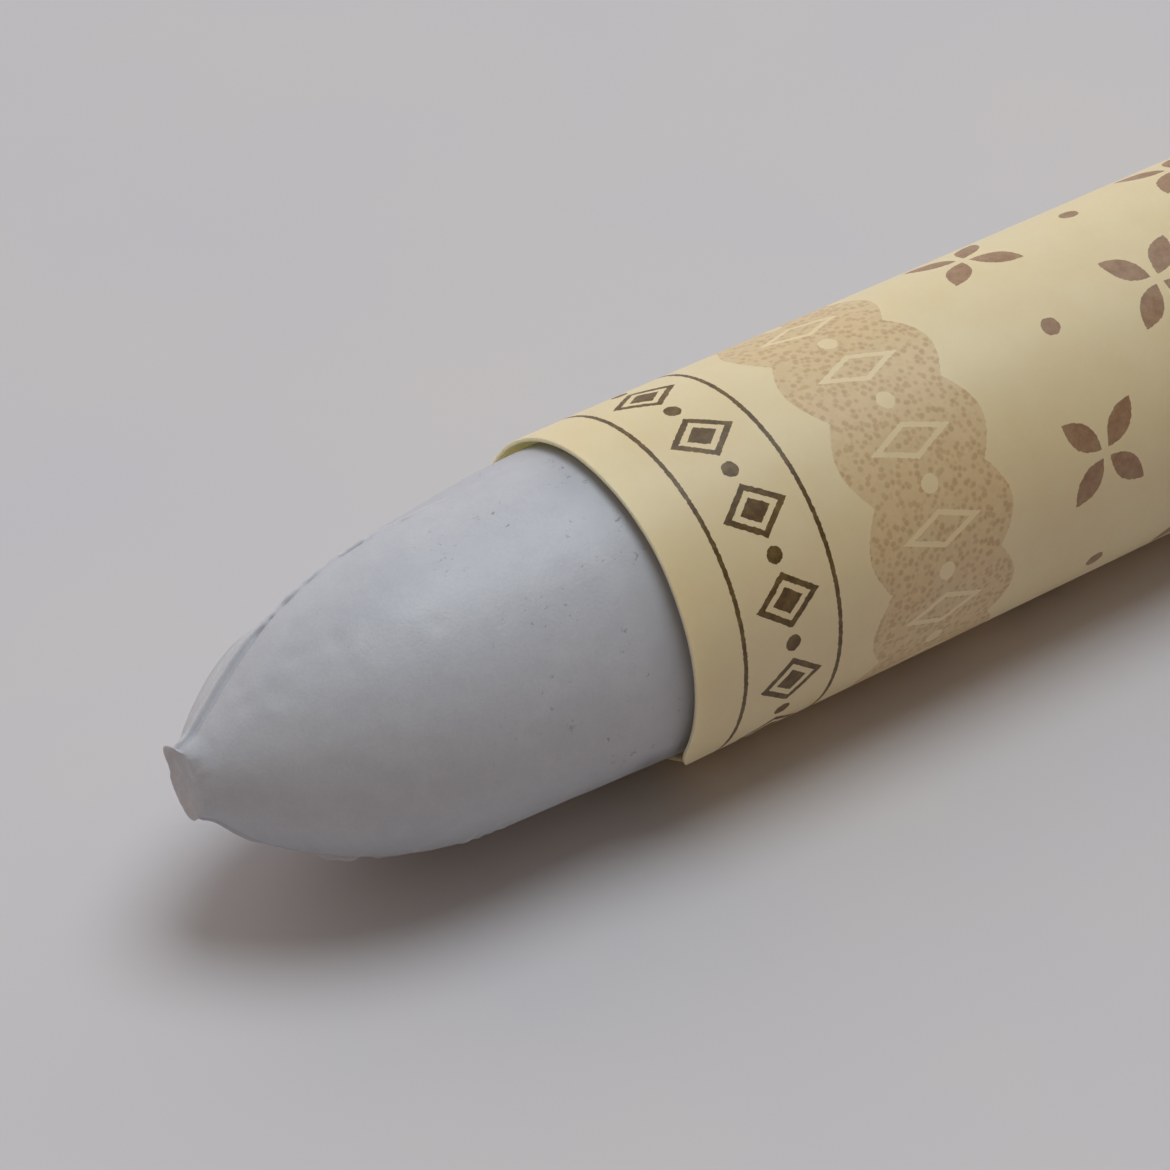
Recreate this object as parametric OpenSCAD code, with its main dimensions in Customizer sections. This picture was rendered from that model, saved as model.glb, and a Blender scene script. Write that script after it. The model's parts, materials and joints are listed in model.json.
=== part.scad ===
// Oil pastel: a cast stick with a bullet nose, in a sleeve of rolled and glued paper.
// Millimetres, lying along X with the nose towards -X. Z is up and z = 0 is the table.
// Angles round the stick are counted from +Y towards +Z, so 90 is the top and 270 the table.

/* [Stick] */
// Diameter of the cast stick where the sleeve holds it
stick_d = 10.4; // [9:0.1:12]
// Length over all, from the broken tip to the flat back
stick_len = 70; // [64:1:80]
// Radius that eases the edge of the flat back
back_edge_r = 0.5; // [0.2:0.1:1]

/* [Nose] */
// Bare length from the sleeve's mouth to the start of the rounded nose
shoulder_len = 5.5; // [4:0.1:7]
// Draft of the shoulder, in degrees a side, with which the casting leaves its mould
draft_angle = 2.35; // [1:0.05:3]
// Length of drafted shoulder that the sleeve covers
covered_draft = 5; // [3:0.5:7]
// Radius of the arc that rounds the nose
ogive_r = 11.6; // [10:0.1:14]
// Diameter at which the rounded nose ends
tip_d = 1.9; // [1.6:0.1:2.2]

/* [Mould marks] */
// Turn of the mould's parting plane round the stick
parting_turn = 64; // [0:1:90]
// How far the flash on the parting line stands ahead of the nose
flash_reach = 0.25; // [0.15:0.05:0.4]
// Thickness of the flash
flash_t = 0.16; // [0.1:0.02:0.3]
// Diameter of the stub where the casting broke from its sprue
stub_d = 2.1; // [1.8:0.1:2.4]
// Length of the stub ahead of the nose
stub_len = 0.5; // [0.3:0.05:0.8]
// Shift of the stub along the parting plane
stub_shift = 0.2; // [0:0.05:0.3]

/* [Sleeve] */
// Length of the paper sleeve
sleeve_len = 53; // [45:1:56]
// Thickness of the coated paper
paper_t = 0.13; // [0.12:0.01:0.2]
// Play between the stick and the sleeve, on the radius
sleeve_play = 0.12; // [0.12:0.01:0.2]
// Depth of the flat that the paper takes where it lies on the table
rest_flat = 0.11; // [0.06:0.01:0.11]

/* [Seam] */
// Turn of the overlap's free edge round the stick
seam_turn = 297; // [290:1:300]
// Width of the glued overlap, along the paper
overlap_w = 4; // [3:0.5:4]
// Length of paper over which the roll climbs onto its own start
climb_w = 1.3; // [1:0.1:1.6]
// Thickness of the glue line in the overlap
glue_t = 0.04; // [0.02:0.01:0.08]
// Width of the glue line
glue_w = 3; // [2:0.2:3]

/* [Hidden] */
$fn = 96;
sheet_steps = 10;
// A bent strip's end reaches this far into the band that it joins, in degrees, and lies this far inside it
join_reach = 0.5;
join_inset = 0.002;

// Radii, from the stick outwards
stick_r = stick_d / 2;
paper_in_r = stick_r + sleeve_play;
paper_out_r = paper_in_r + paper_t;
lift = paper_t + glue_t;
flap_in_r = paper_in_r + lift;
mouth_r = stick_r - covered_draft * tan(draft_angle);
shoulder_r = mouth_r - shoulder_len * tan(draft_angle);
tip_r = tip_d / 2;

// The nose's arc leaves the shoulder at the draft angle and ends at the tip's radius
arc_centre_r = shoulder_r - ogive_r * cos(draft_angle);
arc_lead = ogive_r * sin(draft_angle);
ogive_len = sqrt(ogive_r ^ 2 - (tip_r - arc_centre_r) ^ 2) - arc_lead;

// Places along the stick
back_x = stick_len / 2;
stub_x = -stick_len / 2;
tip_x = stub_x + stub_len;
shoulder_x = tip_x + ogive_len;
mouth_x = shoulder_x + shoulder_len;
full_x = mouth_x + covered_draft;
arc_centre_x = shoulder_x + arc_lead;
flash_end_x = shoulder_x - ogive_len / 4;

// The paper's flat lies on the table and keeps the stick from rolling
axis_z = paper_out_r - rest_flat;

// Angles round the stick, from the overlap's free edge on
overlap_angle = arc_angle(overlap_w);
climb_angle = arc_angle(climb_w);
glue_angle = arc_angle(glue_w);
overlap_end = seam_turn + overlap_angle;
climb_end = overlap_end + climb_angle;
glue_start = seam_turn + (overlap_angle - glue_angle) / 2;

// Degrees that a width of paper takes round the sleeve
function arc_angle(width) = width / paper_out_r * 180 / PI;

// A point at a radius and an angle round the stick
function polar(radius, angle) = radius * [cos(angle), sin(angle)];

// A level start, an even ramp from 0 to 1 and a level end
function ease(u) = let (v = max(0, min(1, u))) v * v * (3 - 2 * v);

// Lays an upright shape along X, on the stick's axis
module lay_down() {
    translate([0, 0, axis_z])
        rotate([90, 0, 90])
            children();
}

// Runs a section of the sleeve along its whole length
module along_sleeve() {
    translate([mouth_x, 0, 0])
        lay_down()
            linear_extrude(height = sleeve_len)
                children();
}

// Sector between two angles, wide enough to cut any section of the sleeve
module sector(from, to) {
    polygon([[0, 0], for (angle = [from, (from + to) / 2, to]) polar(2 * stick_d, angle)]);
}

// Everything in a section of the sleeve from a height over the table upwards
module above(height) {
    translate([-stick_d, height - axis_z])
        square(2 * stick_d);
}

// Section of a thin strip between two angles, whose inner radius falls by a drop on the way
module strip_section(from, to, start_r, drop, thickness) {
    reach = join_reach / (to - from);
    steps = [-reach, for (i = [0 : sheet_steps]) i / sheet_steps, 1 + reach];
    angles = [for (u = steps) from + u * (to - from)];
    radii = [for (u = steps) start_r - drop * ease(u)];
    last = len(steps) - 1;
    polygon(concat(
        [for (i = [0 : last]) polar(radii[i] + thickness - join_inset, angles[i])],
        [for (i = [last : -1 : 0]) polar(radii[i] + join_inset, angles[i])]
    ));
}

// Half section of the stick: radius across, place along the stick upwards
module stick_half_section() {
    // Nose, part of one arc
    intersection() {
        translate([arc_centre_r, arc_centre_x])
            circle(r = ogive_r);
        translate([0, tip_x])
            square([stick_r, ogive_len]);
    }
    // Drafted shoulder and straight body
    polygon([
        [0, shoulder_x],
        [shoulder_r, shoulder_x],
        [stick_r, full_x],
        [stick_r, back_x - back_edge_r],
        [0, back_x - back_edge_r]
    ]);
    // Flat back with an eased edge
    translate([0, back_x - back_edge_r])
        square([stick_r - back_edge_r, back_edge_r]);
    intersection() {
        translate([stick_r - back_edge_r, back_x - back_edge_r])
            circle(r = back_edge_r);
        translate([stick_r - back_edge_r, back_x - back_edge_r])
            square(back_edge_r);
    }
}

// Outline of the nose in the parting plane, moved ahead by the reach of the flash
module flash_outline() {
    intersection() {
        translate([arc_centre_x - flash_reach, arc_centre_r])
            circle(r = ogive_r);
        translate([arc_centre_x - flash_reach, -arc_centre_r])
            circle(r = ogive_r);
        translate([tip_x - flash_reach, -stick_r])
            square([flash_end_x - tip_x + flash_reach, stick_d]);
    }
}

// Cast stick of pigment, wax and oil, with its mould's flash and the stub of its sprue
module pastel_stick() {
    color("#a6aab2") {
        lay_down()
            rotate_extrude()
                stick_half_section();
        translate([0, 0, axis_z])
            rotate([parting_turn, 0, 0]) {
                translate([0, 0, -flash_t / 2])
                    linear_extrude(height = flash_t)
                        flash_outline();
                translate([stub_x, stub_shift, 0])
                    rotate([0, 90, 0])
                        cylinder(h = 2 * stub_len, d = stub_d);
            }
    }
}

// Section of the rolled sheet
module sheet_section() {
    // Plain turn, with the flat below
    difference() {
        intersection() {
            circle(r = paper_out_r);
            above(0);
        }
        intersection() {
            circle(r = paper_in_r);
            above(paper_t);
        }
        sector(seam_turn, climb_end);
    }
    // Covered start, then the climb onto it
    strip_section(seam_turn, overlap_end - join_reach, paper_in_r, 0, paper_t);
    strip_section(overlap_end, climb_end, flap_in_r, lift, paper_t);
    // Glued overlap
    intersection() {
        difference() {
            circle(r = flap_in_r + paper_t);
            circle(r = flap_in_r);
        }
        sector(seam_turn, overlap_end);
    }
}

// One sheet of coated paper, rolled once round the stick and glued to itself
module paper_sleeve() {
    color("#e6d7a8")
        along_sleeve()
            sheet_section();
}

// Line of glue between the two layers of the overlap
module seam_glue() {
    color("#cfc4a2")
        along_sleeve()
            strip_section(glue_start, glue_start + glue_angle, paper_out_r, 0, glue_t);
}

pastel_stick();
paper_sleeve();
seam_glue();
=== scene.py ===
"""Looks of a sleeved oil pastel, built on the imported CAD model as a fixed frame."""

import json
import math

import bpy
import numpy as np
from bpy.props import FloatProperty, FloatVectorProperty, PointerProperty, StringProperty
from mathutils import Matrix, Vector, noise


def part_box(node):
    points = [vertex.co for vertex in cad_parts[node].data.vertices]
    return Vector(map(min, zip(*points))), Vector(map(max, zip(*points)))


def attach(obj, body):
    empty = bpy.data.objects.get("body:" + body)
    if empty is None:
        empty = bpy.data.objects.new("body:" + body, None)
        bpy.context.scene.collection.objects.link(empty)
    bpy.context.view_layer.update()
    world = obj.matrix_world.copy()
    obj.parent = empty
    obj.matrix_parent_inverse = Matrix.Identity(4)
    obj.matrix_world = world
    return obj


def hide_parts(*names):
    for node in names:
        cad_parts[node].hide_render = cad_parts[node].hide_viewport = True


bl_info = {
    "name": "Oil Pastel",
    "version": (1, 0, 0),
    "blender": (4, 5, 0),
    "location": "View3D > Sidebar > Oil Pastel",
    "description": "Dresses a cast oil pastel and its printed paper sleeve on their CAD frame",
    "category": "Object",
}

MM = 0.001

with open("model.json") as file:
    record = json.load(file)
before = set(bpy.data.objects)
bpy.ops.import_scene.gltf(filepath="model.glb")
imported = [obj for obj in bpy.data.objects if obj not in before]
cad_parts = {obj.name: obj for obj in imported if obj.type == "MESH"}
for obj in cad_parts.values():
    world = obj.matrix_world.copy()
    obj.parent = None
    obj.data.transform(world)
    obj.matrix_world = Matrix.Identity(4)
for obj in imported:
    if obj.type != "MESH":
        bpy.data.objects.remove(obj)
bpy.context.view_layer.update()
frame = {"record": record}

# Places in the frame, in metres: the stick's axis, its ends and the sleeve's ends
grip = next(mount for mount in frame["record"]["mounts"] if mount["name"] == "grip_barrel")
AXIS_Z = grip["pos_m"][2]
SLEEVE_R = grip["dims"]["r_mm"] * MM
STICK_LOW, STICK_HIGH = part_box("pastel_stick")
SLEEVE_LOW, SLEEVE_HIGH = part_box("paper_sleeve")
TIP_X = STICK_LOW.x
BACK_X = STICK_HIGH.x
MOUTH_X = SLEEVE_LOW.x
SLEEVE_END_X = SLEEVE_HIGH.x
SLEEVE_LENGTH = SLEEVE_END_X - MOUTH_X


# Settings that a user would change


class PastelStickSettings(bpy.types.PropertyGroup):
    """Sizes and colours of the cast stick"""

    radius: FloatProperty(
        name="Radius", description="Radius of the straight body", default=5.2 * MM, unit="LENGTH")
    draft: FloatProperty(
        name="Draft", description="Draft of the shoulder, a side", default=math.radians(2.35), subtype="ANGLE")
    covered_draft: FloatProperty(
        name="Covered Draft", description="Drafted length that the sleeve covers", default=5 * MM, unit="LENGTH")
    shoulder: FloatProperty(
        name="Shoulder", description="Bare drafted length ahead of the sleeve", default=5.5 * MM, unit="LENGTH")
    ogive_radius: FloatProperty(
        name="Ogive Radius", description="Radius of the arc that rounds the nose", default=11.6 * MM, unit="LENGTH")
    tip_length: FloatProperty(
        name="Tip Length", description="Length over which the torn tip runs into the nose", default=0.95 * MM,
        unit="LENGTH")
    tip_radius: FloatProperty(
        name="Tip Radius", description="Half the length of the oval torn tip", default=1 * MM, unit="LENGTH")
    tip_oval: FloatProperty(
        name="Tip Oval", description="Width of the torn tip as a share of its length", default=0.72)
    tip_shift: FloatProperty(
        name="Tip Shift", description="Shift of the torn tip in the parting plane", default=0.2 * MM, unit="LENGTH")
    parting_turn: FloatProperty(
        name="Parting Turn", description="Turn of the mould's parting plane", default=math.radians(64),
        subtype="ANGLE")
    back_edge: FloatProperty(
        name="Back Edge", description="Radius that eases the flat back", default=0.5 * MM, unit="LENGTH")
    colour: StringProperty(
        name="Colour", description="Body colour of the pastel, sRGB hex", default="b6bac5")
    bloom_colour: StringProperty(
        name="Bloom Colour", description="Colour of the wax bloom on the surface, sRGB hex", default="bbbfc9")
    # The pit colour also paints the shade in the cracks and at the paper's mouth
    pit_and_shade_colour: StringProperty(
        name="Pit Colour", description="Colour of the small pits, sRGB hex", default="8d8f96")
    torn_colour: StringProperty(
        name="Torn Colour", description="Warmer colour of the torn tip, sRGB hex", default="bdb8bd")
    # The flake colour also paints the highlight on the flash's rims and on the strip behind it
    flake_and_highlight_colour: StringProperty(
        name="Flake Colour", description="Paler colour of thin flash, sRGB hex", default="dcdde0")


class PaperSleeveSettings(bpy.types.PropertyGroup):
    """Sizes and colours of the rolled paper and its glue"""

    thickness: FloatProperty(
        name="Thickness", description="Thickness of the coated paper", default=0.13 * MM, unit="LENGTH")
    glue_line: FloatProperty(
        name="Glue Line", description="Thickness of the glue in the overlap", default=0.04 * MM, unit="LENGTH")
    glue_width: FloatProperty(
        name="Glue Width", description="Width of the glue line", default=3 * MM, unit="LENGTH")
    seam_turn: FloatProperty(
        name="Seam Turn", description="Turn of the overlap's free edge", default=math.radians(297), subtype="ANGLE")
    overlap: FloatProperty(
        name="Overlap", description="Width of the glued overlap", default=4 * MM, unit="LENGTH")
    climb: FloatProperty(
        name="Climb", description="Length over which the paper climbs onto its start", default=1.3 * MM,
        unit="LENGTH")
    unevenness: FloatProperty(
        name="Unevenness", description="How far the rolled paper dips in places", default=0.03 * MM, unit="LENGTH")
    colour: StringProperty(
        name="Colour", description="Cream of the coated side, sRGB hex", default="eed8ae")
    cloud_colour: StringProperty(
        name="Cloud Colour", description="Deeper cream of the paper's cloudy spots, sRGB hex", default="e9cfa3")
    core_colour: StringProperty(
        name="Core Colour", description="Colour of the cut edge and the inside, sRGB hex", default="efe4c4")
    ink_colour: StringProperty(
        name="Ink Colour", description="Dark brown ink, sRGB hex", default="553d14")
    thin_ink_colour: StringProperty(
        name="Thin Ink Colour", description="Dark brown ink where it lies thin, sRGB hex", default="7a6230")
    sprig_colour: StringProperty(
        name="Sprig Colour", description="Reddish brown ink of the sprigs, sRGB hex", default="8a674e")
    tint_colour: StringProperty(
        name="Tint Colour", description="Tan ink of the stippled band, sRGB hex", default="bd9d76")
    glue_colour: StringProperty(
        name="Glue Colour", description="Dried paste in the overlap, sRGB hex", default="cdbf98")


class StageSettings(bpy.types.PropertyGroup):
    """Floor, light and camera"""

    floor_colour: StringProperty(
        name="Floor Colour", description="Pale paint of the floor, sRGB hex", default="c6c3c6")
    floor_cloud_colour: StringProperty(
        name="Floor Cloud Colour", description="Faint cloudiness of that paint, sRGB hex", default="c2c1c8")
    azimuth: FloatProperty(
        name="Azimuth", description="Turn of the camera round the part", default=math.radians(-36.119),
        subtype="ANGLE")
    elevation: FloatProperty(
        name="Elevation", description="Height of the camera over the floor", default=math.radians(38.618),
        subtype="ANGLE")
    distance: FloatProperty(
        name="Distance", description="From the camera to the sleeve's mouth", default=138.26 * MM, unit="LENGTH")
    lens: FloatProperty(
        name="Lens", description="Focal length on a 36 mm sensor", default=143.75, unit="CAMERA")
    aim: FloatVectorProperty(
        name="Aim", description="Aim right of and above the axis at the sleeve's mouth",
        default=(-0.024 * MM, 0.73 * MM), size=2, unit="LENGTH")
    key_power: FloatProperty(
        name="Key Power", description="Power of the large soft lamp", default=2.55, unit="POWER")
    wall_strength: FloatProperty(
        name="Wall Strength", description="Strength of the soft glow behind the part", default=0.75)
    room_strength: FloatProperty(
        name="Room Strength", description="Strength of the dim light from all round", default=0.32)


# Materials


def linear(colour, alpha=1.0):
    """sRGB hex to a linear colour."""
    parts = [int(colour[i:i + 2], 16) / 255 for i in (0, 2, 4)]
    return [c / 12.92 if c <= 0.04045 else ((c + 0.055) / 1.055) ** 2.4 for c in parts] + [alpha]


def add(tree, kind, inputs=None, **settings):
    """Adds a node with its settings, sets or links its inputs, and gives its first live output."""
    node = tree.nodes.new(kind)
    for name, value in settings.items():
        setattr(node, name, value)
    for name, value in (inputs or {}).items():
        if isinstance(value, bpy.types.NodeSocket):
            tree.links.new(value, node.inputs[name])
        else:
            node.inputs[name].default_value = value
    return next((output for output in node.outputs if output.enabled), None)


def empty_tree(name):
    """A new material and its empty node tree."""
    material = bpy.data.materials.new(name)
    material.use_nodes = True
    material.node_tree.nodes.clear()
    return material, material.node_tree


def object_mm(tree):
    """Place on the object, in millimetres."""
    place = add(tree, "ShaderNodeTexCoord").node.outputs["Object"]
    return add(tree, "ShaderNodeVectorMath", {0: place, "Scale": 1 / MM}, operation="SCALE")


def surface(tree, **inputs):
    """Joins a Principled shader to the output. Its inputs are named with _ for a space."""
    named = {name.replace("_", " "): value for name, value in inputs.items()}
    shader = add(tree, "ShaderNodeBsdfPrincipled", named)
    add(tree, "ShaderNodeOutputMaterial", {"Surface": shader})


def cast_wax(stick):
    """Oil pastel, cast from pigment, wax and oil: a dull satin skin with pale bloom, fine grain and a few pits."""
    material, tree = empty_tree("cast_oil_pastel")
    place = object_mm(tree)
    # Clouds of bloom 3 mm wide, finer mottling of 0.7 mm and pigment grain of 0.1 mm
    clouds = add(tree, "ShaderNodeTexNoise", {"Vector": place, "Scale": 1 / 3, "Detail": 3, "Roughness": 0.5})
    mottling = add(tree, "ShaderNodeTexNoise", {"Vector": place, "Scale": 1 / 0.7, "Detail": 4, "Roughness": 0.6})
    grain = add(tree, "ShaderNodeTexNoise", {"Vector": place, "Scale": 1 / 0.1, "Detail": 3})
    uneven = add(tree, "ShaderNodeMath", {0: clouds, 1: mottling}, operation="ADD")
    bloom = add(tree, "ShaderNodeMapRange", {"Value": uneven, "From Min": 0.8, "From Max": 1.2},
                interpolation_type="SMOOTHSTEP")
    skin = add(tree, "ShaderNodeMix", {0: bloom, 6: linear(stick.colour), 7: linear(stick.bloom_colour)},
               data_type="RGBA")
    # The torn tip is warmer
    tip, mouth = TIP_X / MM, MOUTH_X / MM
    along_stick = add(tree, "ShaderNodeSeparateXYZ", {0: place})
    torn = add(tree, "ShaderNodeMapRange",
               {"Value": along_stick, "From Min": tip + 0.02, "From Max": tip + 0.34, "To Min": 1, "To Max": 0},
               interpolation_type="SMOOTHSTEP")
    warmed = add(tree, "ShaderNodeMix", {0: torn, 6: skin, 7: linear(stick.torn_colour)}, data_type="RGBA")
    # Thin flakes and crumbs of flash are paler, and painted highlight lies on the flash's rims and on the strip behind
    # it
    pale_and_highlight = add(tree, "ShaderNodeAttribute", attribute_name="pale_and_highlight").node.outputs["Fac"]
    flake_tone_and_highlight = add(tree, "ShaderNodeMix", {0: pale_and_highlight, 6: warmed, 7: linear(stick.flake_and_highlight_colour)}, data_type="RGBA")
    # Crooked pits 0.07 mm wide, no more than one in 0.35 mm, in patches on the shoulder
    crooked = add(tree, "ShaderNodeTexNoise",
                  {"Vector": place, "Scale": 1 / 0.12, "Detail": 2}).node.outputs["Color"]
    strayed = add(tree, "ShaderNodeVectorMath", {0: crooked, 1: (0.5, 0.5, 0.5), 2: place},
                  operation="MULTIPLY_ADD")
    cells = add(tree, "ShaderNodeTexVoronoi", {"Vector": strayed, "Scale": 1 / 0.35}, feature="F1")
    pits = add(tree, "ShaderNodeMapRange", {"Value": cells, "From Min": 0.24, "From Max": 0.12})
    patches = add(tree, "ShaderNodeTexNoise", {"Vector": place, "Scale": 1 / 1.2, "Detail": 2})
    few = add(tree, "ShaderNodeMapRange", {"Value": patches, "From Min": 0.5, "From Max": 0.6})
    shoulder = add(tree, "ShaderNodeMapRange",
                   {"Value": along_stick, "From Min": mouth - 7, "From Max": mouth - 3, "To Min": 0.15})
    patchy = add(tree, "ShaderNodeMath", {0: few, 1: shoulder}, operation="MULTIPLY")
    pitted = add(tree, "ShaderNodeMath", {0: pits, 1: patchy}, operation="MULTIPLY")
    grained = add(tree, "ShaderNodeMapRange",
                  {"Value": grain, "From Min": 0.3, "From Max": 0.7, "To Min": 0.0, "To Max": 0.12})
    speckled = add(tree, "ShaderNodeMath", {0: grained, 1: pitted}, operation="MAXIMUM")
    # Painted shade in the cracks under the flash and below the mouth, and a little all round next to the paper's edge
    painted_shade = add(tree, "ShaderNodeAttribute", attribute_name="painted_shade").node.outputs["Fac"]
    from_mouth = add(tree, "ShaderNodeMath", {0: along_stick, 1: mouth}, operation="SUBTRACT")
    near_mouth = add(tree, "ShaderNodeMath", {0: from_mouth}, operation="ABSOLUTE")
    # Painted shade on the stick within 2 mm of the paper's mouth, all round
    mouth_shade = add(tree, "ShaderNodeMapRange", {"Value": near_mouth, "From Min": 2, "From Max": 0, "To Max": 0.3},
                 interpolation_type="SMOOTHSTEP")
    painted_shading = add(tree, "ShaderNodeMath", {0: painted_shade, 1: mouth_shade}, operation="MAXIMUM")
    marks_and_shade = add(tree, "ShaderNodeMath", {0: speckled, 1: painted_shading}, operation="MAXIMUM")
    # Pits, grain and the painted shade all mix towards the pit colour
    colour = add(tree, "ShaderNodeMix", {0: marks_and_shade, 6: flake_tone_and_highlight, 7: linear(stick.pit_and_shade_colour)}, data_type="RGBA")
    dullness = add(tree, "ShaderNodeMapRange",
                   {"Value": clouds, "From Min": 0.3, "From Max": 0.7, "To Min": 0.38, "To Max": 0.48})
    # Relief: shallow ripples, grain of a few microns, and pits that go deeper
    rippled = add(tree, "ShaderNodeMath", {0: mottling, 1: 1.5, 2: grain}, operation="MULTIPLY_ADD")
    sunk = add(tree, "ShaderNodeMath", {0: pitted, 1: -2.0, 2: rippled}, operation="MULTIPLY_ADD")
    relief = add(tree, "ShaderNodeBump", {"Strength": 0.35, "Distance": 0.02 * MM, "Height": sunk})
    surface(tree, Base_Color=colour, Roughness=dullness, Normal=relief, IOR=1.45, Subsurface_Weight=0.08,
            Subsurface_Radius=(0.3 * MM, 0.3 * MM, 0.35 * MM), Subsurface_Scale=1.0)
    return material


def printed_marks(tree, sheet):
    """Masks of the print, in millimetres on the sheet: dark row, tan band and brown sprigs, alike at both ends."""
    # The paper's tooth breaks up every edge by a few hundredths
    tooth = add(tree, "ShaderNodeTexNoise",
                {"Vector": sheet, "Scale": 1 / 0.12, "Detail": 2}).node.outputs["Color"]
    ragged = add(tree, "ShaderNodeVectorMath", {0: tooth, 1: (0.09, 0.09, 0), 2: sheet}, operation="MULTIPLY_ADD")
    place = add(tree, "ShaderNodeSeparateXYZ", {0: ragged}).node.outputs
    # Twelve marks to a turn of the paper
    pitch = 2 * math.pi * SLEEVE_R / MM / 12
    from_end = add(tree, "ShaderNodeMath", {0: place["X"], 1: SLEEVE_LENGTH / MM / 2}, operation="PINGPONG")
    from_mark = add(tree, "ShaderNodeMath", {0: place["Y"], 1: pitch / 2}, operation="PINGPONG")
    spot = add(tree, "ShaderNodeCombineXYZ", {0: from_end, 1: from_mark})

    # Row of lozenges and dots between two rules
    row, half_length, half_width = 3.6, 1.15, 0.9
    rule_at, half_rule = 1.75, 0.075
    off_row = add(tree, "ShaderNodeVectorMath", {0: spot, 1: (row, 0, 0)}, operation="SUBTRACT")
    near_row = add(tree, "ShaderNodeVectorMath", {0: off_row}, operation="ABSOLUTE")
    lozenge = add(tree, "ShaderNodeVectorMath", {0: near_row, 1: (1 / half_length, 1 / half_width, 0)},
                  operation="DOT_PRODUCT").node.outputs["Value"]
    whole = add(tree, "ShaderNodeMath", {0: lozenge, 1: 1.0}, operation="LESS_THAN")
    gap = add(tree, "ShaderNodeMath", {0: lozenge, 1: 0.6, 2: 0.13}, operation="COMPARE")
    lozenges = add(tree, "ShaderNodeMath", {0: whole, 1: gap}, operation="SUBTRACT")
    to_dot = add(tree, "ShaderNodeVectorMath", {0: spot, 1: (row, pitch / 2, 0)},
                 operation="DISTANCE").node.outputs["Value"]
    dots = add(tree, "ShaderNodeMath", {0: to_dot, 1: 0.27}, operation="LESS_THAN")
    across = add(tree, "ShaderNodeSeparateXYZ", {0: near_row})
    rules = add(tree, "ShaderNodeMath", {0: across, 1: rule_at, 2: half_rule}, operation="COMPARE")
    marks = add(tree, "ShaderNodeMath", {0: lozenges, 1: dots}, operation="MAXIMUM")
    dark = add(tree, "ShaderNodeMath", {0: marks, 1: rules}, operation="MAXIMUM")

    # Band with scalloped edges, with lozenges and dots left bare
    band, mean_half, scallop_depth = 9.4, 2.1, 0.6
    off_band = add(tree, "ShaderNodeVectorMath", {0: spot, 1: (band, 0, 0)}, operation="SUBTRACT")
    near_band = add(tree, "ShaderNodeVectorMath", {0: off_band}, operation="ABSOLUTE")
    phase = add(tree, "ShaderNodeMath", {0: from_mark, 1: math.pi / pitch}, operation="MULTIPLY")
    scallop = add(tree, "ShaderNodeMath", {0: phase}, operation="COSINE")
    half_band = add(tree, "ShaderNodeMath", {0: scallop, 1: scallop_depth, 2: mean_half}, operation="MULTIPLY_ADD")
    across_band = add(tree, "ShaderNodeSeparateXYZ", {0: near_band})
    filled = add(tree, "ShaderNodeMath", {0: half_band, 1: across_band}, operation="GREATER_THAN")
    bare = add(tree, "ShaderNodeVectorMath", {0: near_band, 1: (1 / 1.5, 1 / 0.62, 0)},
               operation="DOT_PRODUCT").node.outputs["Value"]
    bare_ring = add(tree, "ShaderNodeMath", {0: bare, 1: 0.85, 2: 0.15}, operation="COMPARE")
    bare_dot = add(tree, "ShaderNodeVectorMath", {0: near_band, 1: (0, pitch / 2, 0)},
                   operation="DISTANCE").node.outputs["Value"]
    bare_dots = add(tree, "ShaderNodeMath", {0: bare_dot, 1: 0.3}, operation="LESS_THAN")
    left_bare = add(tree, "ShaderNodeMath", {0: bare_ring, 1: bare_dots}, operation="MAXIMUM")
    tan = add(tree, "ShaderNodeMath", {0: filled, 1: left_bare, 2: 0}, operation="SUBTRACT", use_clamp=True)

    # Sprigs of four leaves with a dot between, on a slanting lattice of four to a turn, in six rows about the middle
    row_step = 2 * math.pi * SLEEVE_R / MM / 8
    lattice = row_step * math.sqrt(2)
    first_row = SLEEVE_LENGTH / MM / 2 - 2.5 * row_step
    from_row = add(tree, "ShaderNodeVectorMath", {0: ragged, 1: (first_row, 0, 0)}, operation="SUBTRACT")
    folded = []
    for slant in ((math.sqrt(0.5), math.sqrt(0.5), 0), (math.sqrt(0.5), -math.sqrt(0.5), 0)):
        slanted = add(tree, "ShaderNodeVectorMath", {0: from_row, 1: slant},
                      operation="DOT_PRODUCT").node.outputs["Value"]
        folded.append(add(tree, "ShaderNodeMath", {0: slanted, 1: lattice / 2}, operation="PINGPONG"))
    p, q = folded
    leaf_middle, leaf_length, leaf_width = 1.05, 0.85, 0.4
    shapes = []
    for along_leaf, across_leaf in ((p, q), (q, p)):
        middle = add(tree, "ShaderNodeMath", {0: along_leaf, 1: 1 / leaf_length, 2: -leaf_middle / leaf_length},
                     operation="MULTIPLY_ADD")
        lens = add(tree, "ShaderNodeMath", {0: middle, 1: middle}, operation="MULTIPLY")
        leaf = add(tree, "ShaderNodeMath", {0: across_leaf, 1: 1 / leaf_width, 2: lens}, operation="MULTIPLY_ADD")
        shapes.append(add(tree, "ShaderNodeMath", {0: leaf, 1: 1.0}, operation="LESS_THAN"))
    cell = add(tree, "ShaderNodeCombineXYZ", {0: p, 1: q})
    corner = add(tree, "ShaderNodeVectorMath", {0: cell, 1: (lattice / 2, lattice / 2, 0)},
                 operation="DISTANCE").node.outputs["Value"]
    shapes.append(add(tree, "ShaderNodeMath", {0: corner, 1: 0.32}, operation="LESS_THAN"))
    leaves = add(tree, "ShaderNodeMath", {0: shapes[0], 1: shapes[1]}, operation="MAXIMUM")
    drawn = add(tree, "ShaderNodeMath", {0: leaves, 1: shapes[2]}, operation="MAXIMUM")
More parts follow.
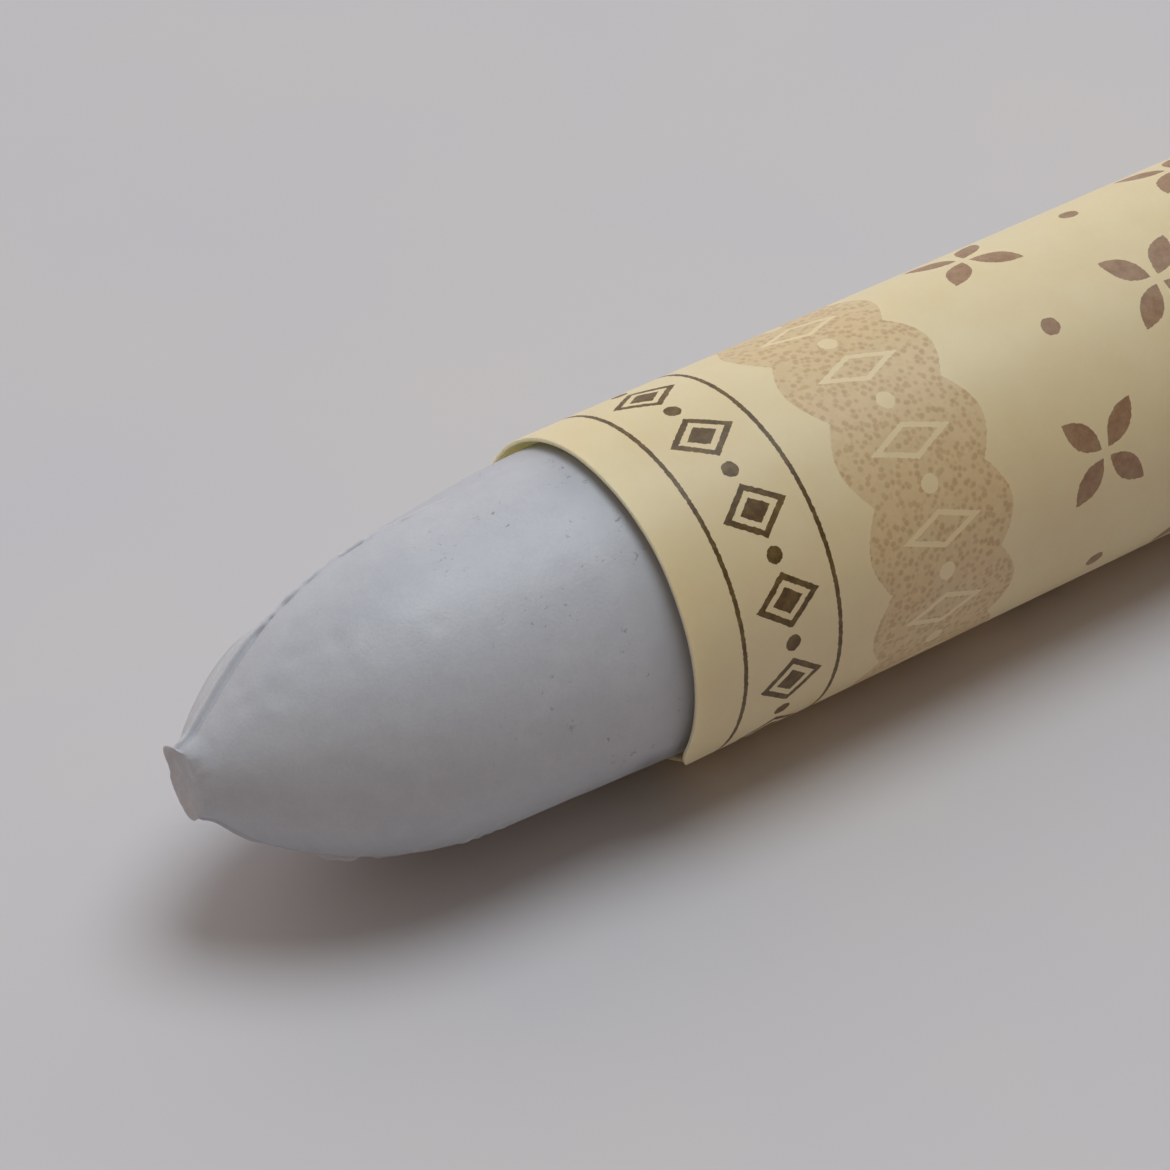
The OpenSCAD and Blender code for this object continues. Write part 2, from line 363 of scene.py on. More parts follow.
    field = add(tree, "ShaderNodeMath", {0: from_end, 1: first_row - row_step / 2}, operation="GREATER_THAN")
    sprigs = add(tree, "ShaderNodeMath", {0: drawn, 1: field}, operation="MULTIPLY")
    return dark, tan, sprigs


# Thin paper lets some light through, which comes out warmer on its other side
PAPER_GLOW = {
    "Subsurface_Weight": 1.0,
    "Subsurface_Radius": (0.45 * MM, 0.48 * MM, 0.4 * MM),
    "Subsurface_Scale": 1.0,
}


def coated_paper(paper):
    """Coated label paper, printed by offset: cream, faintly cloudy and satin, with ink that lies thin in places."""
    material, tree = empty_tree("coated_label_paper")
    sheet = add(tree, "ShaderNodeAttribute", attribute_name="sheet_mm").node.outputs["Vector"]
    # Clouds in the paper 4 mm wide, and fibres of 0.15 mm
    clouds = add(tree, "ShaderNodeTexNoise", {"Vector": sheet, "Scale": 1 / 4, "Detail": 5, "Roughness": 0.6})
    fibres = add(tree, "ShaderNodeTexNoise", {"Vector": sheet, "Scale": 1 / 0.15, "Detail": 3, "Distortion": 0.6})
    cloudy = add(tree, "ShaderNodeMapRange", {"Value": clouds, "From Min": 0.3, "From Max": 0.7})
    cream = add(tree, "ShaderNodeMix", {0: cloudy, 6: linear(paper.colour), 7: linear(paper.cloud_colour)},
                data_type="RGBA")
    # Ink, thin in patches of 0.4 mm and in the tan band broken into a stipple of 0.2 mm
    dark, tan, sprigs = printed_marks(tree, sheet)
    patches = add(tree, "ShaderNodeTexNoise", {"Vector": sheet, "Scale": 1 / 0.4, "Detail": 4, "Roughness": 0.65})
    thin = add(tree, "ShaderNodeMapRange", {"Value": patches, "From Min": 0.42, "From Max": 0.72})
    stipple = add(tree, "ShaderNodeTexVoronoi", {"Vector": sheet, "Scale": 1 / 0.22}, feature="F1")
    speckle = add(tree, "ShaderNodeMapRange",
                  {"Value": stipple, "From Min": 0.3, "From Max": 0.55, "To Min": 0.95, "To Max": 0.5})
    mottled = add(tree, "ShaderNodeMapRange",
                  {"Value": patches, "From Min": 0.35, "From Max": 0.65, "To Min": 1.0, "To Max": 0.72})
    stippled = add(tree, "ShaderNodeMath", {0: speckle, 1: mottled}, operation="MULTIPLY")
    tan_cover = add(tree, "ShaderNodeMath", {0: tan, 1: stippled}, operation="MULTIPLY")
    sprig_ink = add(tree, "ShaderNodeMapRange",
                    {"Value": patches, "From Min": 0.3, "From Max": 0.7, "To Min": 1.0, "To Max": 0.78})
    sprig_cover = add(tree, "ShaderNodeMath", {0: sprigs, 1: sprig_ink}, operation="MULTIPLY")
    ink = add(tree, "ShaderNodeMix", {0: thin, 6: linear(paper.ink_colour), 7: linear(paper.thin_ink_colour)},
              data_type="RGBA")
    colour = add(tree, "ShaderNodeMix", {0: tan_cover, 6: cream, 7: linear(paper.tint_colour)}, data_type="RGBA")
    colour = add(tree, "ShaderNodeMix", {0: sprig_cover, 6: colour, 7: linear(paper.sprig_colour)},
                 data_type="RGBA")
    colour = add(tree, "ShaderNodeMix", {0: dark, 6: colour, 7: ink}, data_type="RGBA")
    dullness = add(tree, "ShaderNodeMapRange",
                   {"Value": fibres, "From Min": 0.3, "From Max": 0.7, "To Min": 0.42, "To Max": 0.56})
    relief = add(tree, "ShaderNodeBump", {"Strength": 0.45, "Distance": 0.012 * MM, "Height": fibres})
    surface(tree, Base_Color=colour, Roughness=dullness, Normal=relief, IOR=1.5, **PAPER_GLOW)
    return material


def raw_paper(paper):
    """Uncoated side and cut edge of the label paper: matt, with pale and dark fibres."""
    material, tree = empty_tree("uncoated_paper")
    place = object_mm(tree)
    fibres = add(tree, "ShaderNodeTexNoise", {"Vector": place, "Scale": 1 / 0.12, "Detail": 4, "Distortion": 1.0})
    shade = add(tree, "ShaderNodeMapRange", {"Value": fibres, "From Min": 0.3, "From Max": 0.7})
    colour = add(tree, "ShaderNodeMix", {0: shade, 6: linear(paper.cloud_colour), 7: linear(paper.core_colour)},
                 data_type="RGBA")
    relief = add(tree, "ShaderNodeBump", {"Strength": 0.5, "Distance": 0.015 * MM, "Height": fibres})
    surface(tree, Base_Color=colour, Roughness=0.85, Normal=relief, IOR=1.5, **PAPER_GLOW)
    return material


def dried_paste(paper):
    """Dried starch paste: a thin, half clear film, shiny where it is thick and streaked by the brush."""
    material, tree = empty_tree("dried_starch_paste")
    place = object_mm(tree)
    drawn_out = add(tree, "ShaderNodeVectorMath", {0: place, 1: (0.2, 1, 1)}, operation="MULTIPLY")
    streaks = add(tree, "ShaderNodeTexNoise", {"Vector": drawn_out, "Scale": 1 / 0.3, "Detail": 3})
    shade = add(tree, "ShaderNodeMapRange", {"Value": streaks, "From Min": 0.3, "From Max": 0.7})
    colour = add(tree, "ShaderNodeMix", {0: shade, 6: linear(paper.glue_colour), 7: linear(paper.core_colour)},
                 data_type="RGBA")
    dullness = add(tree, "ShaderNodeMapRange", {"Value": streaks, "To Min": 0.25, "To Max": 0.6})
    surface(tree, Base_Color=colour, Roughness=dullness, IOR=1.51)
    return material


def painted_board(stage):
    """Board with matt emulsion paint: pale, faintly cloudy, with the fine tooth of a roller."""
    material, tree = empty_tree("painted_board")
    place = object_mm(tree)
    clouds = add(tree, "ShaderNodeTexNoise", {"Vector": place, "Scale": 1 / 12, "Detail": 3})
    tooth = add(tree, "ShaderNodeTexNoise", {"Vector": place, "Scale": 1 / 0.4, "Detail": 3})
    cloudy = add(tree, "ShaderNodeMapRange", {"Value": clouds, "From Min": 0.3, "From Max": 0.7})
    colour = add(tree, "ShaderNodeMix",
                 {0: cloudy, 6: linear(stage.floor_colour), 7: linear(stage.floor_cloud_colour)}, data_type="RGBA")
    relief = add(tree, "ShaderNodeBump", {"Strength": 0.1, "Distance": 0.02 * MM, "Height": tooth})
    surface(tree, Base_Color=colour, Roughness=0.8, Normal=relief)
    return material


# Meshes


def mesh_object(name, points, faces, *materials):
    """A new smooth mesh in the scene."""
    mesh = bpy.data.meshes.new(name)
    mesh.from_pydata([tuple(p) for p in points], [], faces)
    for material in materials:
        mesh.materials.append(material)
    mesh.polygons.foreach_set("use_smooth", [True] * len(mesh.polygons))
    mesh.update()
    made = bpy.data.objects.new(name, mesh)
    bpy.context.scene.collection.objects.link(made)
    return made


def finish_piece(piece, node, body):
    """Puts a piece in a CAD node's place, on its body."""
    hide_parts(node)
    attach(piece, body)


def smooth_step(low, high, value):
    """0 below low, 1 above high and an eased ramp between."""
    t = np.clip((value - low) / (high - low), 0, 1)
    return t * t * (3 - 2 * t)


def plateau(value, start, full, fade, end):
    """1 between full and fade, eased to 0 at start and at end."""
    return smooth_step(start, full, value) * (1 - smooth_step(fade, end, value))


def hump(value, middle, width):
    """A smooth hump of height 1."""
    return np.exp(-((value - middle) / width) ** 2)


def rough(points, size, seed):
    """Smooth noise from -1 to 1 at an array of points, with features of about a size."""
    offset = Vector((17.3 * seed, 5.1 * seed, 9.7 * seed))
    flat = points.reshape(-1, 3)
    return np.array([noise.noise(Vector(p) / size + offset) for p in flat]).reshape(points.shape[:-1])


def round_axis(x, radius, turn):
    """Points at places along the stick, at a radius and a turn round its axis."""
    return np.stack([x, radius * np.cos(turn), AXIS_Z + radius * np.sin(turn)], -1)


def nose_radius(stick, x):
    """Radius of the plain casting at places along it: rounded nose, drafted shoulder and straight body."""
    shoulder_x = MOUTH_X - stick.shoulder
    shoulder_r = stick.radius - (stick.covered_draft + stick.shoulder) * math.tan(stick.draft)
    centre_x = shoulder_x + stick.ogive_radius * math.sin(stick.draft)
    centre_r = shoulder_r - stick.ogive_radius * math.cos(stick.draft)
    arc = centre_r + np.sqrt(stick.ogive_radius ** 2 - np.minimum(x - centre_x, 0) ** 2)
    cone = shoulder_r + (x - shoulder_x) * math.tan(stick.draft)
    return np.where(x < shoulder_x, arc, np.minimum(cone, stick.radius))


def tip_section(stick, face_r, rim, opening):
    """Half section of the torn tip: a nearly flat face, a rim rounded through an angle, and a run into the nose."""
    face_x = TIP_X + 0.04 * MM
    u = np.linspace(0.05, 1, 14)
    face = np.stack([face_x + 0.05 * MM * (1 - u), u * (face_r - rim)], -1)
    turn = np.linspace(0, opening, 7)[1:]
    corner = np.stack([face_x + rim * (1 - np.cos(turn)), face_r - rim * (1 - np.sin(turn))], -1)
    end_x, step = TIP_X + stick.tip_length, 0.01 * MM
    end_r, next_r = nose_radius(stick, np.array([end_x, end_x + step]))
    run_in = np.array([step, next_r - end_r]) / math.hypot(step, next_r - end_r)
    a, d = corner[-1], np.array([end_x, end_r])
    b = a + 0.25 * MM * np.array([math.sin(opening), math.cos(opening)])
    c = d - 0.3 * MM * run_in
    t = np.linspace(0, 1, 14)[1:, None]
    s = 1 - t
    neck = s ** 3 * a + 3 * s ** 2 * t * b + 3 * s * t ** 2 * c + t ** 3 * d
    return np.concatenate([face, corner, neck])


def stick_rows(stick):
    """Half sections of the stick from the tip's middle to the back's: the long way of the oval tip, and the short way.

    The distance along them is counted so that it is 1.75 mm where the tip joins the nose."""
    shoulder_x = MOUTH_X - stick.shoulder
    x = np.concatenate([
        np.arange(TIP_X + stick.tip_length + 0.07 * MM, shoulder_x, 0.09 * MM),
        np.arange(shoulder_x, MOUTH_X + 0.6 * MM, 0.12 * MM),
        np.linspace(MOUTH_X + 1.5 * MM, SLEEVE_END_X - 1 * MM, 12),
        np.linspace(SLEEVE_END_X - 0.5 * MM, BACK_X - stick.back_edge, 9)])
    body = np.stack([x, nose_radius(stick, x)], -1)
    # Back: an eased edge and rings on the flat
    turn = np.radians([18, 36, 54, 72, 90])
    edge = np.stack([BACK_X - stick.back_edge * (1 - np.sin(turn)),
                     stick.radius - stick.back_edge * (1 - np.cos(turn))], -1)
    flat_r = np.linspace(edge[-1, 1], 0, 10)[1:-1]
    flat = np.stack([np.full(8, BACK_X), flat_r], -1)
    rest = np.concatenate([body, edge, flat])
    tip = tip_section(stick, stick.tip_radius, 0.05 * MM, math.radians(80))
    long_way = np.concatenate([tip, rest])
    tip = tip_section(stick, stick.tip_radius * stick.tip_oval, 0.12 * MM, math.radians(48))
    short_way = np.concatenate([tip, rest])
    steps = np.hypot(*np.diff(short_way, axis=0).T)
    distance = np.concatenate([[0], np.cumsum(steps)])
    return long_way, short_way, distance - distance[len(tip) - 1] + 1.75 * MM


def stick_turns(stick):
    """Angles round the stick, close together at the two parting lines and on the near side of the lower one."""
    even = np.radians(np.arange(0, 360, 2.5))
    near = np.radians(np.concatenate([np.arange(-14, -8, 1.0), np.arange(-8, 6, 0.5), np.arange(6, 12, 1.0)]))
    wide = np.concatenate([near, np.radians(np.arange(12, 36, 1.0))])
    upper, lower = stick.parting_turn + near, stick.parting_turn + math.pi - wide
    inside = [(even > turns.min() - 0.01) & (even < turns.max() + 0.01) for turns in (upper, lower)]
    return np.sort(np.concatenate([even[~(inside[0] | inside[1])], upper, lower]))


def along(distance, points):
    """Heights at distances along the surface, from a few (distance, height) points in mm."""
    places, heights = zip(*points)
    return np.interp(distance / MM, places, heights) * MM


# By distance along the surface from the tip, in mm: height of the flash on the two parting lines, width of the upper
# one, its cracks from 0 to 1, and height of the far half behind it, whose mould didn't quite meet the near one
UPPER_FLASH = [
    (0.5, 0), (0.9, 0.12), (1.8, 0.15), (3.0, 0.17), (4.8, 0.16), (5.6, 0.08), (5.95, 0.06), (6.1, 0.04),
    (6.25, 0.11), (6.9, 0.09), (7.0, 0.04), (7.2, 0.08), (7.7, 0.06), (7.9, 0.04), (8.4, 0.05), (8.6, 0.08),
    (9.6, 0.07), (9.8, 0.04), (11.5, 0.05), (12.5, 0.02), (13.5, 0)]
UPPER_WIDTH = [(0, 0.42), (4.6, 0.42), (6.0, 0.12), (12.5, 0.08)]
UPPER_CRACKS = [
    (4.9, 0), (5.2, 0.8), (5.8, 1), (5.95, 0), (6.2, 0), (6.35, 0.8), (6.8, 0.7), (6.95, 0), (7.15, 0.1),
    (7.3, 0.7), (7.6, 0.5), (7.75, 0), (8.4, 0), (8.6, 0.8), (9.4, 1), (9.65, 0.6), (9.8, 0), (10.6, 0),
    (10.8, 0.4), (11.2, 0.2), (11.4, 0)]
FAR_HALF = [
    (1.4, 0), (2.0, 0.08), (2.8, 0.1), (3.6, 0.08), (4.4, 0.04), (5.0, -0.04), (5.5, -0.16), (6.0, -0.32),
    (6.4, -0.4), (7.0, -0.42), (8.0, -0.36), (9.0, -0.3), (10.0, -0.22), (11.0, -0.14), (12.5, -0.05), (14.0, 0)]
LOWER_FLASH = [
    (0.6, 0), (1.0, 0.1), (2.8, 0.1), (3.2, 0.04), (4.9, 0.04), (5.3, 0.2), (6.2, 0.22), (6.45, 0.05),
    (6.7, 0.04), (6.9, 0.15), (8.2, 0.13), (8.7, 0.05), (9.7, 0.04), (12.5, 0)]
LOWER_WIDTH = 0.42 * MM
CRACK_DEPTH = 0.04 * MM
CRUMB_HEIGHT = 0.05 * MM
# Dents on the nose: distance in mm, turn in degrees and width in mm
DENTS = [(3.3, 97, 0.3), (3.5, 82, 0.25), (4.25, 108, 0.35), (5.2, 95, 0.3), (6.4, 104, 0.3), (9.0, 118, 0.25)]
DENT_DEPTH = 0.03 * MM
# Burrs on the torn tip's rim: height in mm, turn from the parting plane and spread in radians, and width in mm
BURRS = [(0.3, -0.4, 0.28, 0.1), (0.14, 3.25, 0.22, 0.12)]
RIM_DISTANCE = 0.6 * MM


def parting_flash(distance, radius, away, plain):
    """Relief of the flash on both parting lines and of the far half behind the upper one, and the flash's paleness
    with a painted highlight.
    """
    off = radius * np.sin(away)
    upper = np.cos(away) > 0
    # A fin on the far side of the parting plane, broken into flakes further back, and a soft furrow on the near side
    height = np.where(upper, along(distance, UPPER_FLASH), along(distance, LOWER_FLASH))
    width = np.where(upper, along(distance, UPPER_WIDTH), LOWER_WIDTH)
    flaked = smooth_step(5.2 * MM, 6 * MM, distance)
    ragged = 1 + (0.08 + 0.6 * flaked) * rough(plain, 0.3 * MM, 3)
    fin = plateau(off, -width - 0.1 * MM, -width, -0.05 * MM, 0.04 * MM)
    fin *= 1 + 0.5 * np.clip(off / width, -1, 0)
    furrow = hump(off, 0.1 * MM, 0.08 * MM)
    lift = height * (fin * ragged - 0.17 * furrow)
    # The far half stands out near the tip and lies lower further back
    behind = smooth_step(-width + 0.02 * MM, -width - 0.15 * MM, off) * smooth_step(-0.2, 0.5, np.cos(away))
    lift += along(distance, FAR_HALF) * behind
    # Thin flash is paler, partly in its own tone and partly as painted highlight on its rims and on the strip behind
    # it on the nose
    strip = plateau(off, -1.2 * MM, -0.8 * MM, -0.05 * MM, 0.03 * MM)
    strip = strip * smooth_step(0.9 * MM, 1.2 * MM, distance) * (1 - flaked)
    flakes = fin * smooth_step(0, 0.1 * MM, height)
    lip = 0.4 * flakes * smooth_step(4.8 * MM, 5.2 * MM, distance)
    pale_and_highlight = np.where(upper, np.maximum(0.3 * strip, 0.8 * flakes * flaked), lip)
    return lift, pale_and_highlight


def cracks_and_crumbs(distance, radius, away, turn, plain):
    """Short cracks under the upper flash and crumbs on the near side of the lower one, each from 0 to 1."""
    upper = np.cos(away) > 0
    under_flash = hump(radius * np.sin(away), 0.03 * MM, 0.05 * MM) * upper
    broken = smooth_step(-0.35, 0, rough(plain, 0.45 * MM, 7))
    cracks = along(distance, UPPER_CRACKS) / MM * under_flash * broken
    strewn = plateau(distance, 6.8 * MM, 7.4 * MM, 10 * MM, 11 * MM) * hump(turn, math.radians(222), 0.16)
    crumbs = strewn * smooth_step(0.1, 0.6, rough(plain, 0.25 * MM, 10))
    return cracks, crumbs


def wear(distance, radius, away, turn, plain):
    """Relief of soft dents all over, a few deeper ones, and a torn and uneven tip with burrs on its rim."""
    lift = 0.014 * MM * rough(plain, 1.6 * MM, 1) + 0.011 * MM * rough(plain, 0.7 * MM, 4)
    for place, at, size in DENTS:
        apart = np.hypot(distance - place * MM, radius * (turn - math.radians(at)))
        lift -= DENT_DEPTH * hump(apart, 0, size * MM)
    torn = 1 - smooth_step(0.6 * MM, 1.2 * MM, distance)
    lift += torn * (0.03 * MM * rough(plain, 0.5 * MM, 2) + 0.03 * MM * rough(plain, 0.15 * MM, 5))
    for height, at, spread, size in BURRS:
        lift += height * MM * hump(away, at, spread) * hump(distance, RIM_DISTANCE, size * MM)
    return lift


def painted_shade_below_mouth(x, turn, plain):
    """Painted shade from 0 to 1 below the mouth, next to the paper's edge."""
    below = plateau(np.degrees(turn), 198, 214, 250, 280)
    mouth_shade = plateau(x - MOUTH_X, -2.2 * MM, -0.6 * MM, 0.2 * MM, 1.5 * MM)
    return below * mouth_shade * (0.75 + 0.35 * rough(plain, 0.8 * MM, 12))


def break_tip(points, distance, plain):
    """Breaks the tip off aslant, further back on its near side, and wears the break round."""
    near_side = math.radians(140)
    to_near = points[..., 1] * math.cos(near_side) + (points[..., 2] - AXIS_Z) * math.sin(near_side)
    ahead = TIP_X + 0.1 * MM + 0.3 * to_near + 0.06 * MM * rough(plain, 0.35 * MM, 11) - points[..., 0]
    worn = (ahead + np.hypot(ahead, 0.25 * MM)) / 2
    points[..., 0] += worn * (1 - smooth_step(2 * MM, 3 * MM, distance))
    points[..., 0] = np.clip(points[..., 0], TIP_X, BACK_X)


def closed_faces(rows, columns):
    """Faces of a skin of rings, closed by one point before the first ring and one behind the last."""
    first, last = rows * columns, rows * columns + 1
    faces = []
    for j in range(columns):
        k = (j + 1) % columns
        faces.append((first, k, j))
        for i in range(rows - 1):
            faces.append((i * columns + j, i * columns + k, (i + 1) * columns + k, (i + 1) * columns + j))
        faces.append((last, (rows - 1) * columns + j, (rows - 1) * columns + k))
    return faces


def cast_stick_mesh(stick, material):
    """The cast stick as one closed skin: torn tip, nose with flash and furrow, shoulder, body and back."""
    long_way, short_way, distance = stick_rows(stick)
    distance = distance[:, None]
    turns = stick_turns(stick)
    away = (turns - stick.parting_turn)[None, :]
    # The torn tip is an oval, long in the parting plane
    oval = 1 / np.sqrt(np.cos(away) ** 2 + (np.sin(away) / stick.tip_oval) ** 2)
    on_plane = (oval - stick.tip_oval) / (1 - stick.tip_oval)
    x = long_way[:, :1] * on_plane + short_way[:, :1] * (1 - on_plane)
    radius = long_way[:, 1:] * on_plane + short_way[:, 1:] * (1 - on_plane)
    turn = np.repeat(turns[None, :], len(x), 0)
    plain = round_axis(x, radius, turn)
    # Relief of the bare nose, which fades out at the sleeve's mouth
    flash, pale_and_highlight = parting_flash(distance, radius, away, plain)
    cracks, crumbs = cracks_and_crumbs(distance, radius, away, turn, plain)
    lift = flash - CRACK_DEPTH * cracks + CRUMB_HEIGHT * crumbs + wear(distance, radius, away, turn, plain)
    lift *= 1 - smooth_step(MOUTH_X - 0.5 * MM, MOUTH_X, x)
    # The casting is a little full on the far side at the mouth
    lift += 0.1 * MM * hump(turn, math.radians(45), 0.6) * hump(x, MOUTH_X - 0.3 * MM, 2.5 * MM)
    # Every point moves along the outward normal of its half section
    run, rise = np.gradient(x, axis=0), np.gradient(radius, axis=0)
    length = np.hypot(run, rise)
    points = round_axis(x - lift * rise / length, radius + lift * run / length, turn)
    # The tip is shifted in the parting plane and broken off
    shift = stick.tip_shift * (1 - smooth_step(0.9 * MM, 3 * MM, distance))
    points += shift[:, :, None] * np.array([0, math.cos(stick.parting_turn), math.sin(stick.parting_turn)])
    break_tip(points, distance, plain)
    ends = [points[0].mean(0), points[-1].mean(0)]
    skin = np.concatenate([points.reshape(-1, 3), ends])
    made = mesh_object("pastel_body", skin, closed_faces(*turn.shape), material)
    # Painted shade in the cracks and below the mouth, and the paleness with painted highlight of the flash and crumbs
    painted_shade = np.maximum(cracks, painted_shade_below_mouth(x, turn, plain))
    for name, values in (("painted_shade", painted_shade), ("pale_and_highlight", np.maximum(pale_and_highlight, 0.6 * crumbs))):
        attribute = made.data.attributes.new(name, "FLOAT", "POINT")
        attribute.data.foreach_set("value", np.concatenate([values.ravel(), [0, 0]]))
    return made


def sheet_mesh(name, outer, inner, *materials):
    """A thin closed sheet between two grids of points. Its lining and its sharp cut edges have the last material."""
    rows, columns = outer.shape[:2]
    index = np.arange(2 * rows * columns).reshape(2, rows, columns)
    top, under = index

    def quads(a, b, c, d):
        return np.stack([a, b, c, d], -1).reshape(-1, 4)

    skin = quads(top[:-1, :-1], top[1:, :-1], top[1:, 1:], top[:-1, 1:])
    lining = quads(under[:-1, :-1], under[:-1, 1:], under[1:, 1:], under[1:, :-1])
    edges = np.concatenate([
        quads(top[0, :-1], top[0, 1:], under[0, 1:], under[0, :-1]),
        quads(top[-1, :-1], under[-1, :-1], under[-1, 1:], top[-1, 1:]),
        quads(top[:-1, 0], under[:-1, 0], under[1:, 0], top[1:, 0]),
        quads(top[:-1, -1], top[1:, -1], under[1:, -1], under[:-1, -1])])
    faces = np.concatenate([skin, lining, edges])
    points = np.concatenate([outer.reshape(-1, 3), inner.reshape(-1, 3)])
    made = mesh_object(name, points, faces.tolist(), *materials)
    printed = np.arange(len(faces)) < len(skin)
    cut = np.arange(len(faces)) >= len(skin) + len(lining)
    made.data.polygons.foreach_set("material_index", np.where(printed, 0, len(materials) - 1))
    made.data.polygons.foreach_set("use_smooth", ~cut)
    return made


def on_table(radius, turn, clear):
    """A radius that is cut down where it would reach below a height over the table."""
    down = np.maximum(-np.sin(turn), 0.5)
    return np.minimum(radius, (AXIS_Z - clear) / down)


def dips(paper, x, turn):
    """How far the rolled paper dips inwards, at places along it and round it."""
    points = round_axis(x, np.full_like(turn, SLEEVE_R), turn)
    return paper.unevenness * (0.5 + 0.5 * rough(points, 5 * MM, 6))


# How far the mouth is cut back below
CUT_BACK = 1.35 * MM


def sleeve_rows():
    """Places along the sleeve, close together at its two cut ends."""
    near = np.array([0, 0.02, 0.05, 0.1, 0.2, 0.4, 0.7]) * MM
    middle = np.linspace(1 * MM, SLEEVE_LENGTH - 1 * MM, 60)
    return MOUTH_X + np.concatenate([near, middle, SLEEVE_LENGTH - near[::-1]])


def from_cut(x):
    """Distance of places along the sleeve from the nearer of its cut ends."""
    return np.minimum(x - MOUTH_X, SLEEVE_END_X - x)


def cut_ends(x, turn):
    """Places along the sleeve after its ends are cut, which isn't quite true: the mouth is cut back below."""
    ring = round_axis(0 * turn, np.full_like(turn, SLEEVE_R), turn)
    wander = 0.03 * MM * (1 + rough(ring, 2.5 * MM, 8))
    below = plateau(np.degrees(turn) % 360, 203, 240, 290, 340)
    wander += CUT_BACK * below * (x < MOUTH_X + 5 * MM)
    towards_middle = np.sign(MOUTH_X + SLEEVE_LENGTH / 2 - x)
    return x + wander * towards_middle * (1 - smooth_step(0, 2.5 * MM, from_cut(x)))


def rolled_paper_mesh(paper, printed, raw):
    """One sheet rolled round the stick, from its covered edge to the free edge that lies on it."""
    lift = paper.thickness + paper.glue_line
    overlap, climb = paper.overlap / SLEEVE_R, paper.climb / SLEEVE_R
    start = paper.seam_turn + overlap - math.radians(0.5)
    end = paper.seam_turn - 2 * math.pi
    columns = np.linspace(start, end, 242)
    x, turn = np.meshgrid(sleeve_rows(), columns, indexing="ij")
    # The sheet climbs onto its own start, one turn later
    climbed = smooth_step(0, climb, paper.seam_turn + overlap + climb - 2 * math.pi - turn)
    base = SLEEVE_R - paper.thickness + lift * climbed - dips(paper, x, turn)
    rounded = 0.012 * MM * (1 - smooth_step(0, 0.03 * MM, from_cut(x)))
    cut_x = cut_ends(x, turn)
    outer = round_axis(cut_x, on_table(base + paper.thickness, turn, 0) - rounded, turn)
    inner = round_axis(cut_x, on_table(base, turn, paper.thickness), turn)
    made = sheet_mesh("label_paper", outer, inner, printed, raw)
    # Place on the flat sheet, in mm from the mouth and from the covered edge
    flat = np.stack([(cut_x - MOUTH_X) / MM, (start - turn) * SLEEVE_R / MM, 0 * x], -1).reshape(-1, 3)
    attribute = made.data.attributes.new("sheet_mm", "FLOAT_VECTOR", "POINT")
    attribute.data.foreach_set("vector", np.concatenate([flat, flat]).ravel())
    return made


def paste_mesh(paper, material):
    """The film of paste in the overlap, with uneven sides."""
    middle = paper.seam_turn + paper.overlap / SLEEVE_R / 2
    half = paper.glue_width / SLEEVE_R / 2
    across = np.linspace(1, -1, 25)
    x, side = np.meshgrid(sleeve_rows(), across, indexing="ij")
    sway = 0.06 * rough(np.stack([x, side * MM, 0 * x], -1), 3 * MM, 9)
    turn = middle + half * (side * 0.9 + sway)
    base = SLEEVE_R - dips(paper, x, turn)
    inset = 0.06 * paper.glue_line
    cut_x = cut_ends(x, turn)
    outer = round_axis(cut_x, base + paper.glue_line - inset, turn)
    inner = round_axis(cut_x, base + inset, turn)
    return sheet_mesh("overlap_paste", outer, inner, material)


# Light and camera


def room_light(stage):
    """Dim room, warm below and neutral above, with the soft glow of a wall behind the part."""
    world = bpy.data.worlds.new("studio")
    world.use_nodes = True
    tree = world.node_tree
    tree.nodes.clear()
    direction = add(tree, "ShaderNodeTexCoord").node.outputs["Generated"]
    rise = add(tree, "ShaderNodeSeparateXYZ", {0: direction}).node.outputs["Z"]
    air = add(tree, "ShaderNodeMix", {0: rise, 6: linear("ffc974"), 7: linear("e3e9ee")}, data_type="RGBA")
    to_wall = (0.25, 0.97, 0)
    facing = add(tree, "ShaderNodeVectorMath", {0: direction, 1: to_wall},
                 operation="DOT_PRODUCT").node.outputs["Value"]
    glow = add(tree, "ShaderNodeMath", {0: facing, 1: stage.wall_strength}, operation="MULTIPLY", use_clamp=True)
    room = add(tree, "ShaderNodeBackground", {"Color": air, "Strength": stage.room_strength})
    wall = add(tree, "ShaderNodeBackground", {"Color": linear("fffaf9"), "Strength": glow})
    both = add(tree, "ShaderNodeAddShader", {0: room, 1: wall})
    add(tree, "ShaderNodeOutputWorld", {"Surface": both})
    return world


def soft_lamp(stage, aim):
    """A large soft lamp above the part."""
    lamp = bpy.data.lights.new("key", "AREA")
    lamp.shape = "DISK"
    lamp.size = 0.45
    lamp.energy = stage.key_power
    lamp.color = linear("f4fcff")[:3]
    key = bpy.data.objects.new("key", lamp)
    key.location = aim + Vector((0.17, 0.035, 0.645))
    key.rotation_euler = (aim - key.location).to_track_quat("-Z", "Y").to_euler()
    return key


def photo_camera(stage, aim):
    """A camera at the photograph's angle."""
    data = bpy.data.cameras.new("camera")
    data.lens = stage.lens
    data.sensor_width = 36
    data.clip_start = 0.01
    camera = bpy.data.objects.new("camera", data)
    turn, tilt = stage.azimuth, stage.elevation
    back = Vector((math.sin(turn) * math.cos(tilt), -math.cos(turn) * math.cos(tilt), math.sin(tilt)))
    right = Vector((math.cos(turn), math.sin(turn), 0))
    camera.location = aim + back * stage.distance
    look_at = aim + right * stage.aim[0] + back.cross(right) * stage.aim[1]
    camera.rotation_euler = (look_at - camera.location).to_track_quat("-Z", "Y").to_euler()
    return camera


# Operators, one for each piece and one for the stage


